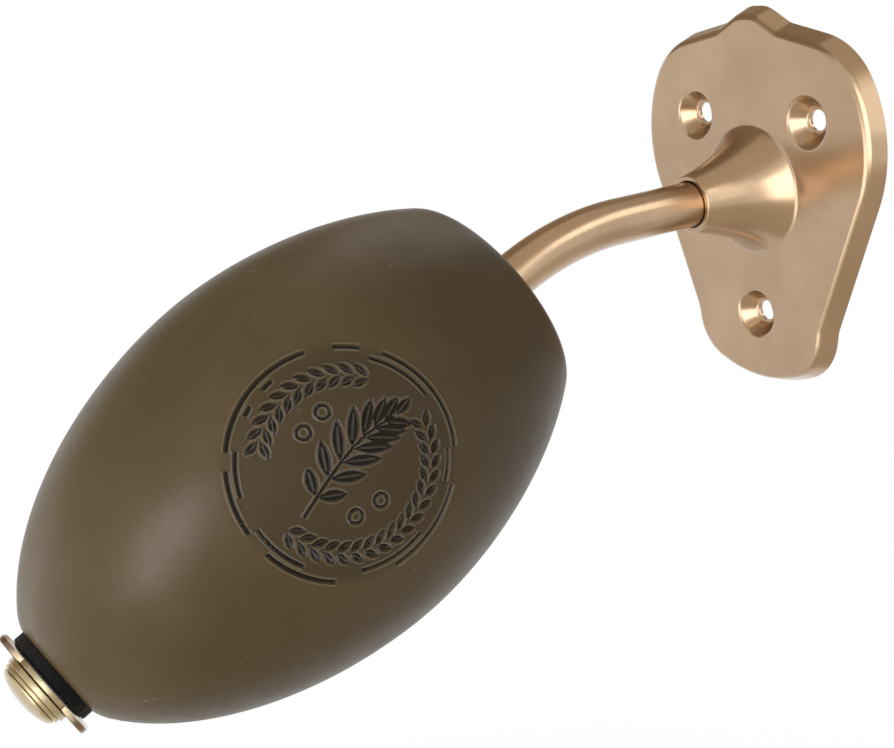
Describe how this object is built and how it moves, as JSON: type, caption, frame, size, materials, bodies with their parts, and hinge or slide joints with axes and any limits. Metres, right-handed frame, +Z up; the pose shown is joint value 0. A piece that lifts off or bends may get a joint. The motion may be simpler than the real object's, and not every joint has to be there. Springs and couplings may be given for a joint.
{
  "type": "swivel soap holder",
  "caption": "Wall-fixed brass soap holder: a bent arm swivels in a trumpet on a shield-shaped plate and carries an egg of soap that spins on a spindle under an eared nut.",
  "frame": {"origin": "where the swivel axis meets the wall plane, y = 0", "axes": "+Z up, +Y into the wall along the swivel axis, +X to the right for someone facing the wall"},
  "size_m": [0.0674, 0.1639, 0.101],
  "materials": {
    "aged_brass": "satin, brushed, aged",
    "golden_brass": "satin",
    "steel": "plain",
    "nylon": "matt",
    "rubber": "matt",
    "soap": "pressed, faint sheen"
  },
  "bodies": {
    "wall_mount": {"wall_plate": "aged_brass", "pivot_bush": "nylon"},
    "arm": {"arm_stud": "aged_brass", "thrust_washer": "steel", "spring_washer": "steel", "pivot_nut": "steel", "arm_tube": "aged_brass", "stop_collar": "aged_brass", "spindle": "aged_brass"},
    "soap": {"soap_bar": "soap"},
    "keeper": {"end_washer": "rubber"},
    "nut": {"wing_plate": "golden_brass", "cap_nut": "golden_brass"}
  },
  "joints": [
    {"name": "arm_swivel", "type": "hinge", "parent": "wall_mount", "child": "arm", "pos_m": [0, 0, 0], "axis": [0, -1, 0], "continuous": true},
    {"name": "soap_spin", "type": "hinge", "parent": "arm", "child": "soap", "pos_m": [0, -0.06858, -0.00845], "axis": [0, -0.9003, -0.4352], "continuous": true},
    {"name": "nut_travel", "type": "slide", "parent": "arm", "child": "keeper", "axis": [0, -0.9003, -0.4352], "range_m": [0, 0.005]},
    {"name": "nut_turn", "type": "hinge", "parent": "keeper", "child": "nut", "pos_m": [0, -0.06858, -0.00845], "axis": [0, -0.9003, -0.4352], "range_deg": [0, 1800]}
  ],
  "couplings": [
    {"joint": "nut_travel", "follows": "nut_turn", "m_per_rad": 0.00015915}
  ]
}
